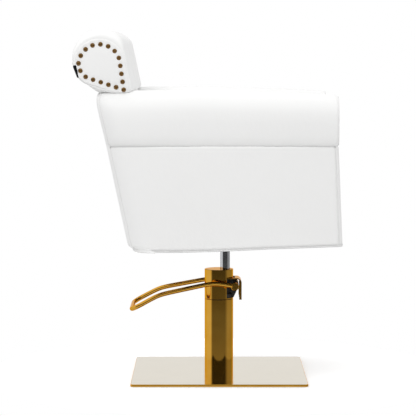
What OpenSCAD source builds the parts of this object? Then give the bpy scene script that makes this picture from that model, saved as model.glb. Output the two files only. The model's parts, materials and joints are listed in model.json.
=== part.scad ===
// Styling chair: square base, hydraulic pump column with a foot lever, and a padded tub seat
// with a rolled, nail-trimmed top to its back.
// Origin: centre of the base's underside on the floor, on the column's axis.
// +Z is up, and the chair faces -Y.

/* [Base] */
// Side of the square base
base_w = 455; // [420:5:500]
// Radius of the base's four corners
base_corner_r = 10; // [6:1:20]
// Height of the base cover's top
base_top = 7; // [7:0.5:9]

/* [Column] */
// Outer diameter of the column
column_d = 76; // [76:1:80]
// Height of the joint between the column's sleeve and collar
collar_z = 200; // [198:1:204]
// Height of the collar's top
collar_top = 279; // [276:1:284]
// Diameter of the piston rod
rod_d = 25; // [24:0.5:26]
// Distance of the piston rod in front of the column's axis
rod_offset = 16.4; // [16:0.2:17]
// Stroke of the piston rod
lift_travel = 130; // [100:5:130]

/* [Foot lever] */
// Diameter of the bent lever rod
lever_d = 12; // [10:1:13]
// Half of the distance between the lever's two arms
lever_half_w = 52; // [50:1:60]
// Rear end of the lever loop
lever_rear = 235; // [225:5:255]
// How far each arm of the lever spreads outwards per unit of its length
lever_flare = 0.14; // [0.1:0.01:0.16]

/* [Body] */
// Width between the two arms' inner faces
seat_w = 450; // [440:5:460]
// Half of the width over the side panels
panel_x = 308; // [305:1:312]
// Half of the width over the arm rolls
arm_x = 313; // [311:1:316]
// Height of the side panels' lower rear corner
body_z = 355; // [352:1:358]
// Height of the seam between an arm roll and its side panel
seam_z = 620; // [610:1:630]
// Height of the arm's crest
arm_top = 757; // [750:1:757]
// Height of the seat cushion
cushion_z = 512; // [500:1:520]

/* [Back] */
// Angle by which the back leans
lean = 12.1; // [11:0.1:12.5]
// Thickness of the backrest, front to rear
back_t = 102; // [98:1:106]
// Radius of the roll on top of the back
roll_r = 71; // [68:1:72]
// Half of the roll's length, without its end caps
roll_x = 273; // [268:1:275]

/* [Nails] */
// Diameter of an upholstery nail's head
nail_d = 11.8; // [10:0.2:12]
// Number of nails on each end cap
nail_count = 18; // [16:1:18]

/* [Hidden] */
$fn = 64;

// Small distances: a visible gap between upholstered pieces, and a cut's run past a face
gap = 0.4;
past = 1;
running = 0.05;

// Base
mat_t = 1.5;
mat_inset = 8;
cover_t = 1;
plate_top = base_top - cover_t;
cover_lift = 0.8;
plate_inset = cover_t + 0.2;

// Pump
column_r = column_d / 2;
bevel = 0.6;
sleeve_top = collar_z - 0.5;
collar_low = collar_z + 0.3;
screw_outer_x = -25.2;
screw_inner_x = -17;
slot_h = 1.2;
sleeve_t = 1;
collar_t = 2;
collar_roof = 3;
rod_r = rod_d / 2;
foot_r = 34.9;
foot_top = plate_top + 8;
foot_hole_r = 3.4;
bolt_circle_r = 22;
tank_r = 36.8;
tank_t = 1.6;
head_z = 166;
head_top = 214;
head_r = 35.8;
spigot_h = 6;
cylinder_r = 18.4;
bore_r = 15.1;
boss_r = 17;
boss_top = 262;
seal_h = 6;
seal_r = 15.5;
piston_h = 10;
stop_gap = 2;
piston_z = head_z - spigot_h - stop_gap - lift_travel - piston_h;
piston_r = bore_r - running;
journal_r = 8;
rod_top = 364;
screw_y = 29;
screw_z = collar_z + 6;
screw_r = 2;
window_x = 32;
window_z = 203;
window_top = 258.5;

// Lever pivot and plunger
pivot_y = -41.8;
pivot_z = 237.2;
shaft_r = 6;
eye_r = 10.5;
eye_t = 12;
lug_x = 9;
lug_top = 254;
plunger_x = 22.5;
plunger_y = -5;
plunger_r = 6;
plunger_z = 186;
plunger_flange_t = 2.5;
nose_r = 4;
nose_gap = 0.2;
rocker_half_t = 3;
rocker_w = 8;
button_r = 3.5;
button_h = 2;
flange_r = 8;
plunger_top = pivot_z - nose_r - nose_gap;
flange_top = plunger_top - button_h;
plunger_hole_z = 170;
spring_well_z = 200;
spring_well_r = 8.4;
spring_wire_r = 0.7;
spring_turns = 7;

// Lever loop
lever_r = lever_d / 2;
lever_bend_r = 25;
cross_y = lever_rear - lever_r;
rise = 0.2;
first_bend_y = 12;
first_bend = 0.4;
second_bend_y = 158;
second_bend = 0.34;
sides = 14;

// Guard
guard_x = 30;
guard_t = 3;
guard_front = -60;
guard_bottom = 199.6;
guard_top = lug_top + guard_t;
guard_r = 13;
guard_lip = 6.5;
guard_lip_t = 2;
guard_screw_x = 5;
guard_screw_y = -40;
guard_leg_x = 8;
guard_leg_z = 210.5;
guard_leg_h = 22;

// Seat box
board_z = 372;
board_t = 15;
deck_z = 432;
deck_t = 9;
box_x = 239.5;
box_front = -282;
box_rear = 112;
rail_t = 22;
bracket_t = 4;
bracket_w = 160;
bracket_hole = 60;
bracket_hole_r = 4.5;
socket_z = 329;
bolt_r = 4;
arm_bolt_y = [-195, -90, 20];
arm_bolt_z = 410;
corner_block = 45;

// Foot bolts
foot_bolt_r = bolt_r - 0.7;
foot_head_r = 7;
foot_head_h = 3;
hex_key_r = 2.5;
hex_key_h = 1.8;

// Seat fixings
bracket_bolt_head_r = 7.5;
bracket_bolt_head_h = 5.5;
tee_flange_r = 12;
tee_barrel_r = 5.4;
tee_flange_t = 1.7;
bracket_corner_r = 10;
bracket_gap = 1;
socket_low_r = 19;
socket_high_r = 27;
gusset_t = 5;
gusset_outline = [[18, 340], [24, 340], [70, 367.5], [18, 367.5]];
rod_nut_r = 11.5;
bracket_low = board_z - bracket_gap - bracket_t;

// Arms
pad_x = seat_w / 2;
frame_x = 240;
frame_t = 22;
panel_in = frame_x + frame_t + gap;
frame_top = 690;
front_low_y = -309;
front_high_y = -297;
front_t = 22;
arm_front_z = 746;
arm_rear_z = 749;

// Back
rear_foot_y = 231;
rear_foot_z = 367.6;
outer_t = 20;
board_back_t = 18;
pad_t = back_t - outer_t - board_back_t;
neck_z = 758;
roll_y = 297;
roll_z = 840;
roll_heel = [354, 789];

// Nailed end cap
cap_t = 12;
board_end_t = 12;
cap_r = 52;
cap_y = 299.5;
cap_z = 820;
cap_margin = 14.5;
tip = [239, 759];
heel = [332.5, 790];
nail_arc_low = -10;
nail_arc_high = 180;
nail_head_h = 3;
nail_shank_r = 1.2;
nail_shank_h = 9;

// Rear handle
handle_low = [353.2, 791];
handle_low_r = 2.5;
handle_high = [360.3, 816];
handle_high_r = 4.8;
handle_x = 285;
handle_screw_x = 180;

function rear_y(z) = rear_foot_y + (z - rear_foot_z) * tan(lean);
function face_y(z) = rear_y(z) - back_t;
function front_y(z) = front_low_y + (z - body_z) * (front_high_y - front_low_y) / (seam_z - body_z);
function bottom_z(y) = body_z + (210 - y) * 0.027;
function soft_step(u, w) = w * ln(1 + exp(u / w));
function lever_z(y) = pivot_z + rise * (y - pivot_y)
  - first_bend * soft_step(y - first_bend_y, 10)
  - second_bend * soft_step(y - second_bend_y, 8);
function unit(v) = v / norm(v);

// Draws a shape given in Y and Z, from x0 to x1 along X
module along_x(x0, x1) {
  translate([x0, 0, 0]) rotate([90, 0, 90]) linear_extrude(x1 - x0) children();
}

// Draws the child as it is on the sitter's left, at +X, and mirrored on the right
module on_side(left) {
  if (left) children();
  else mirror([1, 0, 0]) children();
}

module at_corners(x, y) {
  for (i = [-1, 1], j = [-1, 1]) translate([i * x, j * y, 0]) children();
}

module rounded_plate(w, r, z0, z1) {
  translate([-w / 2 + r, -w / 2, z0]) cube([w - 2 * r, w, z1 - z0]);
  translate([-w / 2, -w / 2 + r, z0]) cube([w, w - 2 * r, z1 - z0]);
  at_corners(w / 2 - r, w / 2 - r) translate([0, 0, z0]) cylinder(h = z1 - z0, r = r);
}

module ring(r_out, r_in, z0, z1) {
  difference() {
    translate([0, 0, z0]) cylinder(h = z1 - z0, r = r_out);
    translate([0, 0, z0 - past]) cylinder(h = z1 - z0 + 2 * past, r = r_in);
  }
}

// A cylinder along X
module rod_x(x0, x1, y, z, r) {
  translate([x0, y, z]) rotate([0, 90, 0]) cylinder(h = x1 - x0, r = r);
}

// A tube of round section along a list of points
module sweep(path, r, n) {
  count = len(path);
  tangents = [for (i = [0 : count - 1])
    unit(path[min(i + 1, count - 1)] - path[max(i - 1, 0)])];
  rings = [for (i = [0 : count - 1])
    let (a = unit(cross([0, 0, 1], tangents[i])), b = cross(tangents[i], a))
    for (k = [0 : n - 1]) path[i] + r * (cos(360 * k / n) * a + sin(360 * k / n) * b)];
  walls = [for (i = [0 : count - 2], k = [0 : n - 1], side = [0, 1])
    let (m = (k + 1) % n)
    side == 0 ? [i * n + k, (i + 1) * n + k, (i + 1) * n + m]
              : [i * n + k, (i + 1) * n + m, i * n + m]];
  ends = [[for (k = [0 : n - 1]) k], [for (k = [n - 1 : -1 : 0]) (count - 1) * n + k]];
  polyhedron(rings, concat(walls, ends));
}

// ---------------------------------------------------------------- base

module base_mat() {
  color("dimgray") rounded_plate(base_w - 2 * mat_inset, base_corner_r, 0, mat_t);
}

module base_plate() {
  color("gray") difference() {
    rounded_plate(base_w - 2 * plate_inset, base_corner_r, mat_t, plate_top);
    for (i = [0 : 3]) rotate([0, 0, 45 + 90 * i]) translate([bolt_circle_r, 0, 0]) {
      translate([0, 0, mat_t - past]) cylinder(h = base_top, r = bolt_r + 0.3);
      translate([0, 0, mat_t - 0.01]) cylinder(h = 3, r1 = 7.4, r2 = bolt_r + 0.3);
    }
  }
}

module base_cover() {
  color("gold") difference() {
    rounded_plate(base_w, base_corner_r, cover_lift, base_top);
    rounded_plate(base_w - 2 * cover_t, base_corner_r - 0.5, cover_lift - past, plate_top);
    translate([0, 0, plate_top - past]) cylinder(h = 3, r = foot_r + 0.3);
  }
}

module base_bolts() {
  color("silver") for (i = [0 : 3]) rotate([0, 0, 45 + 90 * i]) {
    translate([bolt_circle_r, 0, mat_t + 0.1]) difference() {
      union() {
        cylinder(h = foot_head_h, r1 = foot_head_r, r2 = foot_bolt_r);
        cylinder(h = foot_top - mat_t - past, r = foot_bolt_r);
      }
      translate([0, 0, -past]) cylinder(h = hex_key_h + past, r = hex_key_r, $fn = 6);
    }
  }
}

// ---------------------------------------------------------------- column and pump

// Cuts a bevel round the column's outer edge at z, on metal that lies below it or above it
module bevel_cut(z, below) {
  turn = below ? -1 : 1;
  rotate_extrude() polygon([
    [column_r - bevel - past, z - turn * past], [column_r + past, z - turn * past],
    [column_r + past, z + turn * (bevel + past)]
  ]);
}

module column_sleeve() {
  color("gold") difference() {
    ring(column_r, column_r - sleeve_t, base_top, sleeve_top);
    bevel_cut(sleeve_top, true);
  }
}

module cylinder_foot() {
  color("gray") difference() {
    translate([0, 0, plate_top]) cylinder(h = foot_top - plate_top, r = foot_r);
    for (i = [0 : 3]) rotate([0, 0, 45 + 90 * i])
      translate([bolt_circle_r, 0, plate_top - past]) cylinder(h = 20, r = foot_hole_r);
  }
}

module reservoir_tube() {
  color("dimgray") ring(tank_r, tank_r - tank_t, base_top + 0.3, head_z);
}

module inner_cylinder() {
  color("silver") translate([0, -rod_offset, 0]) ring(cylinder_r, bore_r, foot_top, head_z);
}

module pivot_lug() {
  along_x(-lug_x, lug_x) {
    translate([pivot_y, pivot_z]) circle(r = eye_r);
    polygon([
      [-30, window_z + 0.5], [-39, window_z + 0.5], [-47, 221], [pivot_y - 9, 231],
      [pivot_y - 4, lug_top], [-34, lug_top], [-30, 250]
    ]);
  }
}

module pump_head() {
  color("slategray") difference() {
    union() {
      translate([0, 0, head_z - spigot_h]) cylinder(h = spigot_h, r = tank_r - tank_t - 0.1);
      translate([0, 0, head_z]) cylinder(h = collar_z - head_z, r = tank_r);
      translate([0, 0, collar_z]) cylinder(h = head_top - collar_z, r = head_r);
      translate([0, -rod_offset, head_top]) cylinder(h = boss_top - head_top, r = boss_r);
      pivot_lug();
    }
    translate([0, -rod_offset, 0]) {
      translate([0, 0, head_z - spigot_h - past]) cylinder(h = spigot_h + past, r = cylinder_r + 0.1);
      translate([0, 0, head_z - past]) cylinder(h = 120, r = rod_r + running);
      translate([0, 0, boss_top - seal_h]) cylinder(h = 20, r = seal_r);
    }
    translate([plunger_x, plunger_y, 0]) {
      translate([0, 0, plunger_hole_z]) cylinder(h = 60, r = plunger_r + running);
      translate([0, 0, spring_well_z]) cylinder(h = 30, r = spring_well_r);
    }
    rod_x(-lug_x - past, lug_x + past, pivot_y, pivot_z, shaft_r + running);
    rod_x(-column_r, screw_inner_x + past, screw_y, screw_z, screw_r + running);
    for (i = [-1, 1]) translate([i * guard_screw_x, guard_screw_y, lug_top - 6])
      cylinder(h = 10, r = 1.6);
  }
}

module rod_seal() {
  color("black") translate([0, -rod_offset, 0])
    ring(seal_r - 0.05, rod_r + 0.08, boss_top - seal_h, boss_top + 0.5);
}

module collar_window() {
  translate([-window_x, -column_r - past, window_z]) {
    cube([2 * window_x, column_r, window_top - window_z]);
  }
}

module head_collar() {
  color("gold") difference() {
    translate([0, 0, collar_low]) cylinder(h = collar_top - collar_low, r = column_r);
    translate([0, 0, collar_z - past])
      cylinder(h = collar_top - collar_z - collar_roof + past, r = column_r - collar_t);
    translate([0, -rod_offset, collar_top - 10]) cylinder(h = 20, r = rod_r + 1.2);
    collar_window();
    rod_x(-column_r - past, screw_inner_x + past, screw_y, screw_z, screw_r + 2 * running);
    bevel_cut(collar_low, false);
    bevel_cut(collar_top, true);
  }
}

module collar_screw() {
  color("dimgray") difference() {
    rod_x(screw_outer_x, screw_inner_x, screw_y, screw_z, screw_r);
    rod_x(screw_outer_x - past, screw_outer_x + slot_h, screw_y, screw_z, screw_r / 2);
  }
}

// ---------------------------------------------------------------- lever

module guard_profile(t) {
  difference() {
    union() {
      translate([guard_front, guard_bottom])
        square([20, guard_top - guard_r - guard_bottom]);
      translate([guard_front + guard_r, guard_bottom]) square([39 - guard_r, guard_top - guard_bottom]);
      translate([guard_front + guard_r, guard_top - guard_r]) circle(r = guard_r);
    }
    translate([guard_front + t, guard_bottom - past])
      square([80, guard_top - guard_r - guard_bottom + past]);
    translate([guard_front + guard_r, guard_bottom - past])
      square([80, guard_top - t - guard_bottom + past]);
    translate([guard_front + guard_r, guard_top - guard_r]) circle(r = guard_r - t);
  }
}

module lever_guard() {
  color("gold") difference() {
    union() {
      along_x(-guard_x, guard_x) guard_profile(guard_t);
      for (x = [-guard_x, guard_x - guard_lip_t]) translate([x, guard_front, guard_bottom])
        cube([guard_lip_t, guard_lip, guard_top - guard_r - guard_bottom]);
      translate([-guard_leg_x, guard_front + guard_t - 0.5, guard_leg_z])
        cube([2 * guard_leg_x, 5.5, guard_leg_h]);
    }
    translate([0, -rod_offset, 240]) cylinder(h = 30, r = boss_r + 0.6);
    for (i = [-1, 1]) translate([i * guard_screw_x, guard_screw_y, lug_top]) cylinder(h = 10, r = 2.1);
  }
}

module guard_screws() {
  color("silver") for (i = [-1, 1]) translate([i * guard_screw_x, guard_screw_y, 0]) {
    translate([0, 0, lug_top - 5]) cylinder(h = 8, r = 1.55);
    translate([0, 0, guard_top]) intersection() {
      cylinder(h = 2, r = 3.4);
      translate([0, 0, -3]) sphere(r = 4.9);
    }
  }
}

module plunger() {
  color("silver") translate([plunger_x, plunger_y, 0]) {
    translate([0, 0, plunger_z]) cylinder(h = flange_top - plunger_z, r = plunger_r);
    translate([0, 0, flange_top - plunger_flange_t]) cylinder(h = plunger_flange_t, r = flange_r);
    translate([0, 0, flange_top - past]) cylinder(h = button_h + past, r = button_r);
  }
}

module plunger_spring() {
  low = spring_well_z + spring_wire_r;
  high = flange_top - plunger_flange_t - spring_wire_r - 0.1;
  coil_r = plunger_r + 0.3 + spring_wire_r;
  steps = 12 * spring_turns;
  path = [for (i = [0 : steps]) [
    plunger_x + coil_r * cos(30 * i),
    plunger_y + coil_r * sin(30 * i),
    low + (high - low) * i / steps
  ]];
  color("silver") sweep(path, spring_wire_r, 6);
}

function lever_x(y) = lever_half_w + lever_flare * (y - pivot_y);
function lever_side(s) = [for (y = [pivot_y + eye_r - 3 : 6 : cross_y - lever_bend_r])
  [s * lever_x(y), y, lever_z(y)]];
function lever_bend(s) = [for (a = [0 : 9 : 90])
  let (y = cross_y - lever_bend_r + lever_bend_r * sin(a))
  [s * (lever_x(cross_y - lever_bend_r) - lever_bend_r + lever_bend_r * cos(a)), y, lever_z(y)]];
function reversed(list) = [for (i = [len(list) - 1 : -1 : 0]) list[i]];

module lever_loop() {
  half = concat(lever_side(1), lever_bend(1));
  other = concat(lever_side(-1), lever_bend(-1));
  color("gold") {
    sweep(concat(half, reversed(other)), lever_r, sides);
    for (s = [-1, 1]) difference() {
      rod_x(s * lever_half_w - eye_t / 2, s * lever_half_w + eye_t / 2, pivot_y, pivot_z, eye_r);
      rod_x(s * lever_half_w - eye_t, s * lever_half_w + eye_t, pivot_y, pivot_z, shaft_r + running);
    }
  }
}

module rocker_shaft() {
  end_x = lever_half_w + eye_t / 2 - 0.5;
  color("silver") difference() {
    rod_x(-end_x, end_x, pivot_y, pivot_z, shaft_r);
    for (s = [-1, 1]) rod_x(s * end_x - 12, s * end_x + 12, pivot_y, pivot_z, 3);
  }
}

module rocker_arm() {
  arm_low = plunger_x - rocker_w / 2;
  arm_high = plunger_x + rocker_w / 2;
  color("silver") difference() {
    union() {
      rod_x(lug_x + 1, arm_high + 2, pivot_y, pivot_z, 8.8);
      translate([arm_low, pivot_y, pivot_z - rocker_half_t])
        cube([rocker_w, plunger_y - pivot_y, 2 * rocker_half_t]);
      rod_x(arm_low, arm_high, plunger_y, pivot_z, nose_r);
    }
    rod_x(lug_x, arm_high + 4, pivot_y, pivot_z, shaft_r + running);
  }
}

module lever_bolts() {
  color("gold") for (s = [-1, 1]) on_side(s > 0) difference() {
    union() {
      rod_x(lever_half_w + eye_t / 2, lever_half_w + eye_t / 2 + 4, pivot_y, pivot_z, 6.5);
      rod_x(lever_half_w + eye_t / 2 - 11, lever_half_w + eye_t / 2, pivot_y, pivot_z, 2.95);
    }
    translate([lever_half_w + eye_t / 2 + 1.2, pivot_y, pivot_z]) rotate([0, 90, 0])
      cylinder(h = 5, r = 3.4, $fn = 6);
  }
}

// ---------------------------------------------------------------- piston and rod

module piston() {
  color("silver") translate([0, -rod_offset, 0]) difference() {
    ring(piston_r, journal_r + running, piston_z, piston_z + piston_h);
    ring(piston_r + past, piston_r - 2, piston_z + 3, piston_z + 7);
  }
}

module piston_seal() {
  color("black") translate([0, -rod_offset, 0])
    ring(piston_r, piston_r - 1.9, piston_z + 3.1, piston_z + 6.9);
}

module piston_rod() {
  color("silver") translate([0, -rod_offset, 0]) {
    translate([0, 0, piston_z - 2.6]) cylinder(h = piston_h + 3, r = journal_r);
    translate([0, 0, piston_z + piston_h + 0.2])
      cylinder(h = rod_top - piston_z - piston_h - 0.2, r = rod_r);
  }
}

module rod_nut() {
  color("dimgray") translate([0, -rod_offset, 0])
    ring(rod_nut_r, journal_r, piston_z - 2.4, piston_z - 0.2);
}

// ---------------------------------------------------------------- seat

module seat_bracket() {
  color("dimgray") translate([0, -rod_offset, 0]) difference() {
    union() {
      rounded_plate(bracket_w, bracket_corner_r, bracket_low, board_z - bracket_gap);
      translate([0, 0, socket_z])
        cylinder(h = bracket_low - socket_z, r1 = socket_low_r, r2 = socket_high_r);
      for (i = [0 : 3]) rotate([90, 0, 45 + 90 * i]) translate([0, 0, -gusset_t / 2])
        linear_extrude(gusset_t) polygon(gusset_outline);
    }
    translate([0, 0, socket_z - past]) cylinder(h = rod_top - socket_z + 2, r = rod_r + 0.02);
    at_corners(bracket_hole, bracket_hole) translate([0, 0, 350]) cylinder(h = 30, r = bracket_hole_r);
  }
}

module bracket_bolts() {
  color("silver") translate([0, -rod_offset, 0]) at_corners(bracket_hole, bracket_hole) {
    translate([0, 0, board_z - bracket_t - 6.6])
      cylinder(h = bracket_bolt_head_h, r = bracket_bolt_head_r, $fn = 6);
    translate([0, 0, board_z - bracket_t - 2]) cylinder(h = board_t + 6, r = bolt_r);
  }
}

module tee_nuts() {
  color("silver") translate([0, -rod_offset, 0]) at_corners(bracket_hole, bracket_hole) {
    ring(tee_flange_r, bolt_r, board_z + board_t + 0.1, board_z + board_t + 0.1 + tee_flange_t);
    ring(tee_barrel_r, bolt_r, board_z + 4, board_z + board_t + past);
  }
}

module box_sheet(z0, z1) {
  translate([-box_x, box_front, z0]) cube([2 * box_x, box_rear - box_front, z1 - z0]);
}

module dust_cover() {
  color("black") difference() {
    box_sheet(board_z - 1, board_z);
    translate([0, -rod_offset, 0]) at_corners(bracket_hole, bracket_hole)
      translate([0, 0, 360]) cylinder(h = 20, r = bracket_hole_r);
  }
}

module seat_board() {
  color("burlywood") difference() {
    box_sheet(board_z, board_z + board_t);
    translate([0, -rod_offset, 0]) at_corners(bracket_hole, bracket_hole)
      translate([0, 0, 360]) cylinder(h = 40, r = 5.5);
  }
}

module seat_rails() {
  z0 = board_z + board_t + gap;
  h = deck_z - gap - z0;
  inner_x = box_x - rail_t;
  color("burlywood") difference() {
    union() {
      for (y = [box_front, box_rear - rail_t]) translate([-inner_x + gap, y, z0])
        cube([2 * (inner_x - gap), rail_t, h]);
      for (x = [-box_x, inner_x]) translate([x, box_front, z0])
        cube([rail_t, box_rear - box_front, h]);
    }
    arm_bolt_places() rod_x(inner_x - past, frame_x, 0, 0, bolt_r + 0.3);
  }
}

module corner_blocks() {
  z0 = board_z + board_t + gap;
  inner_x = box_x - rail_t - gap;
  low = box_front + rail_t + gap;
  high = box_rear - rail_t - gap;
  color("tan") for (s = [-1, 1], e = [[low, 1], [high, -1]])
    translate([0, 0, z0]) linear_extrude(deck_z - gap - z0) polygon([
      [s * inner_x, e[0]],
      [s * (inner_x - corner_block), e[0]],
      [s * inner_x, e[0] + e[1] * corner_block]
    ]);
}

module seat_deck() {
  color("burlywood") box_sheet(deck_z, deck_z + deck_t);
}

module seat_cushion() {
  low = deck_z + deck_t + gap;
  color("white") along_x(-pad_x + gap, pad_x - gap) hull() {
    translate([front_y(470) + 12, low]) square([40, 30]);
    translate([front_y(470) + 36, cushion_z - 34]) circle(r = 34);
    translate([face_y(low) - 12, low]) square([10, 10]);
    translate([face_y(cushion_z - 20) - 22, cushion_z - 20]) circle(r = 20);
  }
}

module seat_front_panel() {
  low = board_z - 1;
  high = deck_z + deck_t;
  color("white") along_x(-pad_x + gap, pad_x - gap) polygon([
    [front_y(low), low], [front_y(high), high],
    [box_front - gap, high], [box_front - gap, low]
  ]);
}

// ---------------------------------------------------------------- arms

module arm_bolt_places() {
  for (s = [-1, 1], y = arm_bolt_y) on_side(s > 0) translate([0, y, arm_bolt_z]) children();
}

module arm_bolts() {
  inner_x = box_x - rail_t;
  color("silver") arm_bolt_places() {
    rod_x(inner_x - 4, inner_x - 0.1, 0, 0, 8);
    rod_x(inner_x - 1, frame_x + frame_t - 2, 0, 0, bolt_r);
  }
}

module arm_frame(left) {
  low = board_z;
  color("burlywood") on_side(left) difference() {
    along_x(frame_x, frame_x + frame_t) polygon([
      [front_y(low) + front_t + gap, low],
      [front_high_y + front_t + gap, seam_z],
      [front_high_y + front_t + gap, frame_top],
      [rear_y(frame_top) - outer_t - gap, frame_top],
      [rear_y(low) - outer_t - gap, low]
    ]);
    for (y = arm_bolt_y)
      rod_x(frame_x - past, frame_x + frame_t + past, y, arm_bolt_z, bolt_r + 0.3);
  }
}

module panel_outline(inset) {
  offset(r = 12) offset(delta = -12 - inset) polygon([
    [front_y(bottom_z(-300)) + front_t + gap, bottom_z(-286)],
    [front_y(seam_z) + front_t + gap, seam_z - gap],
    [rear_y(seam_z), seam_z - gap],
    [rear_y(body_z + 14), body_z + 14],
    [rear_y(body_z) - 16, body_z]
  ]);
}

module side_panel(left) {
  color("white") on_side(left) hull() {
    along_x(panel_in, panel_in + 14) panel_outline(0, $fn = 32);
    along_x(panel_x - 8, panel_x) panel_outline(12, $fn = 32);
  }
}

module front_panel(left) {
  low = bottom_z(-300) + 3;
  color("white") on_side(left) along_x(pad_x + gap, panel_x - 2) polygon([
    [front_y(low), low], [front_y(seam_z), seam_z - gap],
    [front_y(seam_z) + front_t, seam_z - gap], [front_y(low) + front_t, low]
  ]);
}

module inner_arm_pad(left) {
  low = deck_z + deck_t + gap;
  color("white") on_side(left) along_x(pad_x, frame_x - gap) polygon([
    [front_y(low) + front_t + gap, low],
    [front_y(seam_z) + front_t + gap, seam_z - gap],
    [face_y(seam_z) + pad_t - gap, seam_z - gap],
    [face_y(low) + pad_t - gap, low]
  ]);
}

// Section of the arm across the chair, in X and Z
module arm_section() {
  hull() {
    translate([pad_x + 1, seam_z]) square([panel_x - pad_x - 2, 4]);
    translate([pad_x + 26, arm_top - 30]) circle(r = 26);
    translate([pad_x + 46, arm_top - 34]) circle(r = 34);
    translate([arm_x - 40, arm_top - 62]) circle(r = 40);
  }
}

module arm_roll(left) {
  color("white") on_side(left) difference() {
    intersection() {
      translate([0, 400, 0]) rotate([90, 0, 0]) linear_extrude(800) arm_section();
      along_x(pad_x - 20, arm_x + 20) polygon([
        [front_high_y, seam_z], [front_high_y, arm_front_z - 14],
        [front_high_y + 8, arm_front_z], [-120, arm_top - 3], [50, arm_top + past],
        [160, arm_top - 1], [rear_y(arm_rear_z) - 10, arm_rear_z],
        [rear_y(710), 710], [rear_y(seam_z), seam_z]
      ]);
    }
    along_x(frame_x - gap, frame_x + frame_t + gap) translate([front_high_y + front_t, seam_z - past])
      square([800, frame_top + gap - seam_z + past]);
    along_x(0, frame_x) back_outline(seam_z - 2 * past, arm_top + 20, -back_t);
    along_x(frame_x - past, panel_in) back_outline(seam_z - 2 * past, arm_top + 20, -outer_t - gap);
  }
}

// ---------------------------------------------------------------- back

// The space behind a plane parallel to the back's rear face, in Y and Z
module back_outline(low, high, ahead) {
  polygon([
    [rear_y(low) + ahead, low], [rear_y(high) + ahead, high],
    [rear_y(high) + 20, high], [rear_y(low) + 20, low]
  ]);
}

module back_frame() {
  low = deck_z + deck_t + gap;
  high = neck_z - gap;
  color("burlywood") along_x(-frame_x + gap, frame_x - gap) polygon([
    [face_y(low) + pad_t + gap, low], [face_y(high) + pad_t + gap, high],
    [rear_y(high) - outer_t - gap, high], [rear_y(low) - outer_t - gap, low]
  ]);
}

module back_pad() {
  low = deck_z + deck_t + gap;
  high = neck_z - gap;
  color("white") along_x(-pad_x + gap, pad_x - gap) polygon([
    [face_y(low), low], [face_y(high), high],
    [face_y(high) + pad_t, high], [face_y(low) + pad_t, low]
  ]);
}

module outer_back_panel() {
  low = body_z + 6;
  high = 754;
  color("white") along_x(-panel_in + 2 * gap, panel_in - 2 * gap) polygon([
    [rear_y(low) - outer_t, low], [rear_y(high) - outer_t, high],
    [rear_y(high), high], [rear_y(low), low]
  ]);
}

// Section of the roll: an arc over the rear and top, flat where it carries on the back's front face
module roll_section() {
  face_distance = (roll_y - face_y(roll_z)) * cos(lean);
  last = 180 - lean - acos(face_distance / roll_r);
  polygon(concat(
    [[face_y(neck_z), neck_z], [rear_y(neck_z) - 5, neck_z], roll_heel],
    [for (i = [0 : 36]) let (a = -15 + (last + 15) * i / 36)
      [roll_y + roll_r * cos(a), roll_z + roll_r * sin(a)]]
  ));
}

module handle_section(grow) {
  hull() {
    translate(handle_low) circle(r = handle_low_r + grow);
    translate(handle_high) circle(r = handle_high_r + grow);
  }
}

module back_roll() {
  inner = roll_x - board_end_t - gap;
  color("white") difference() {
    along_x(-inner, inner) roll_section();
    along_x(-inner - past, inner + past) handle_section(gap);
    for (s = [-1, 1]) handle_screw_hole(s);
  }
}

// The nails' line: from the tip back to the heel, over the top in an arc, and straight down to the tip
function nail_arc() = [for (a = [nail_arc_low : 10 : nail_arc_high])
  [cap_y + cap_r * cos(a), cap_z + cap_r * sin(a)]];
function nail_line() = concat([tip, heel], nail_arc(), [tip]);
function steps_of(line) = [for (i = [0 : len(line) - 2]) norm(line[i + 1] - line[i])];
function sum_to(list, n) = n <= 0 ? 0 : list[n - 1] + sum_to(list, n - 1);
function point_at(line, steps, s, i = 0) = s <= steps[i] || i >= len(steps) - 1
  ? line[i] + (line[i + 1] - line[i]) * s / steps[i]
  : point_at(line, steps, s - steps[i], i + 1);

module cap_outline(margin) {
  intersection() {
    offset(r = margin) polygon(nail_line());
    polygon([
      [face_y(neck_z) + 3, neck_z - 12], [400, neck_z - 12], [400, 930], [face_y(930) + 3, 930]
    ]);
  }
}

module roll_board(left) {
  color("burlywood") on_side(left) difference() {
    along_x(roll_x - board_end_t, roll_x - gap) intersection() {
      roll_section();
      cap_outline(cap_margin);
    }
    along_x(roll_x - board_end_t - past, roll_x + past) handle_section(gap);
    nail_holes(roll_x - board_end_t - past);
  }
}

module end_cap(left) {
  color("white") on_side(left) difference() {
    along_x(roll_x, roll_x + cap_t) intersection() {
      cap_outline(cap_margin);
      translate([200, neck_z + gap]) square([200, 200]);
    }
    along_x(roll_x - past, roll_x + cap_t + past) handle_section(gap);
    nail_holes(roll_x - past);
  }
}

module nail_places() {
  line = nail_line();
  steps = steps_of(line);
  pitch = sum_to(steps, len(steps)) / nail_count;
  for (i = [0 : nail_count - 1]) {
    p = point_at(line, steps, i * pitch);
    translate([0, p[0], p[1]]) children();
  }
}

module nail_holes(x0) {
  nail_places() rod_x(x0, roll_x + cap_t + past, 0, 0, nail_shank_r + 0.05);
}

module end_cap_nails(left) {
  face = roll_x + cap_t;
  dome_r = (pow(nail_d / 2, 2) + pow(nail_head_h, 2)) / (2 * nail_head_h);
  color("saddlebrown") on_side(left) nail_places() {
    rod_x(face - nail_shank_h, face + 1, 0, 0, nail_shank_r);
    translate([face + 0.05, 0, 0]) rotate([0, 90, 0]) rotate_extrude() intersection() {
      translate([0, nail_head_h - dome_r]) circle(r = dome_r);
      square([nail_d, nail_head_h]);
    }
  }
}

module rear_handle() {
  color("black") difference() {
    along_x(-handle_x, handle_x) handle_section(0);
    for (s = [-1, 1]) handle_screw_hole(s);
  }
}

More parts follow.
